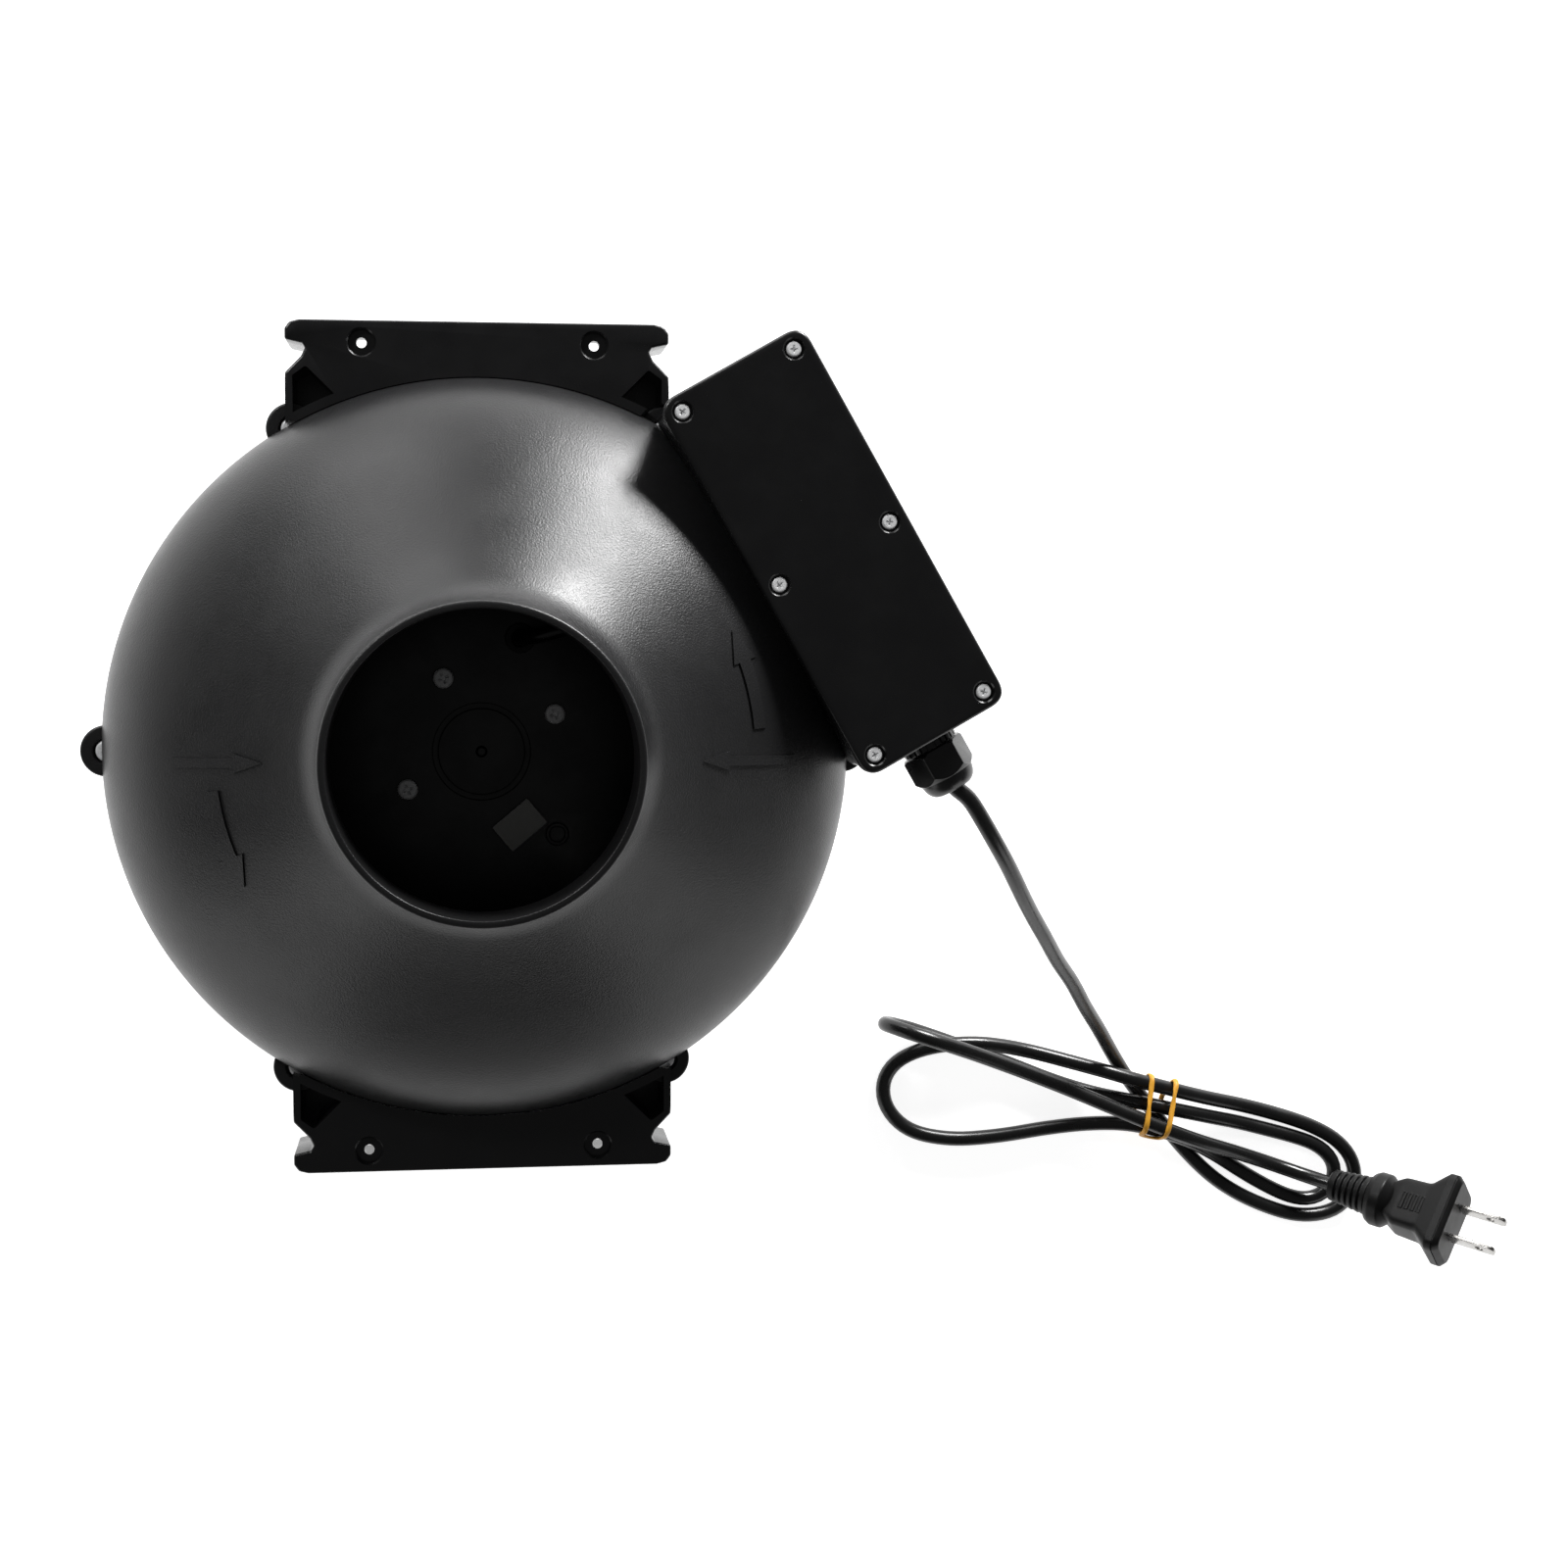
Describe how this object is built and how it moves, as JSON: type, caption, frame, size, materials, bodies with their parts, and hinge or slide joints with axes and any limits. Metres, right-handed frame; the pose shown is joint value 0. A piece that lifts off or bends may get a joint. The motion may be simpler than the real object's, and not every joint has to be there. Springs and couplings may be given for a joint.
{
  "type": "inline duct fan",
  "caption": "Black plastic inline duct fan with a domed two-bowl casing, straight duct collars, side brackets, a terminal box and a bundled cord with a two-blade plug.",
  "frame": {"origin": "on the plane of the inlet collar's rim, under the middle of the footprint without the cord; the fan axis stands 20.5 mm towards -X from it", "axes": "+Z along the air path from inlet to outlet, +Y towards the upper mounting bracket, +X towards the terminal box"},
  "size_m": [0.5262, 0.3524, 0.23],
  "materials": {
    "casing_black": "moulded black plastic, fine grained, satin",
    "box_black": "moulded black plastic, smooth satin",
    "impeller_black": "moulded black plastic, matte",
    "rubber_black": "black rubber, matte",
    "cord_black": "black flexible PVC sheath, glossy",
    "plug_black": "black moulded PVC, satin",
    "band_orange": "orange-yellow elastic band, satin",
    "zinc_screw": "bright zinc-plated steel",
    "plug_nickel": "nickel-plated brass, bright",
    "motor_steel": "turned and pressed steel",
    "motor_aluminium": "die-cast aluminium, satin",
    "stator_winding": "varnished copper winding",
    "ivory_plastic": "ivory moulded plastic",
    "sticker_grey": "grey paper seal, blank"
  },
  "bodies": {
    "casing": {"outlet_casing": "casing_black", "inlet_casing": "casing_black", "motor_carrier": "casing_black", "bracket_top": "casing_black", "bracket_bottom": "casing_black", "terminal_box_base": "box_black", "terminal_box_cover": "box_black", "gland_body": "box_black", "gland_nut": "box_black", "gland_locknut": "box_black", "terminal_box_gasket": "rubber_black", "gland_seal": "rubber_black", "lead_grommet": "rubber_black", "motor_lead": "rubber_black", "power_cord": "cord_black", "cord_hank": "cord_black", "cord_tail": "cord_black", "plug_strain_relief": "plug_black", "plug_body": "plug_black", "cord_band": "band_orange", "cover_screw_1": "zinc_screw", "cover_screw_2": "zinc_screw", "cover_screw_3": "zinc_screw", "cover_screw_4": "zinc_screw", "cover_screw_5": "zinc_screw", "cover_screw_6": "zinc_screw", "casing_screw_1": "zinc_screw", "casing_screw_2": "zinc_screw", "casing_screw_3": "zinc_screw", "casing_screw_4": "zinc_screw", "casing_screw_5": "zinc_screw", "casing_screw_6": "zinc_screw", "box_screw_1": "zinc_screw", "box_screw_2": "zinc_screw", "motor_screw_1": "zinc_screw", "motor_screw_2": "zinc_screw", "motor_screw_3": "zinc_screw", "motor_screw_4": "zinc_screw", "plug_blade_1": "plug_nickel", "plug_blade_2": "plug_nickel", "bearing_lower": "motor_steel", "bearing_upper": "motor_steel", "motor_flange": "motor_aluminium", "run_capacitor": "motor_aluminium", "stator": "stator_winding", "terminal_block": "ivory_plastic", "seal_sticker": "sticker_grey"},
    "rotor": {"rotor_cup": "motor_steel", "motor_shaft": "motor_steel", "shaft_collar": "motor_steel", "impeller": "impeller_black"}
  },
  "joints": [
    {"name": "impeller_spin", "type": "hinge", "parent": "casing", "child": "rotor", "pos_m": [-0.0205, 0, 0.115], "axis": [0, 0, 1], "continuous": true}
  ]
}
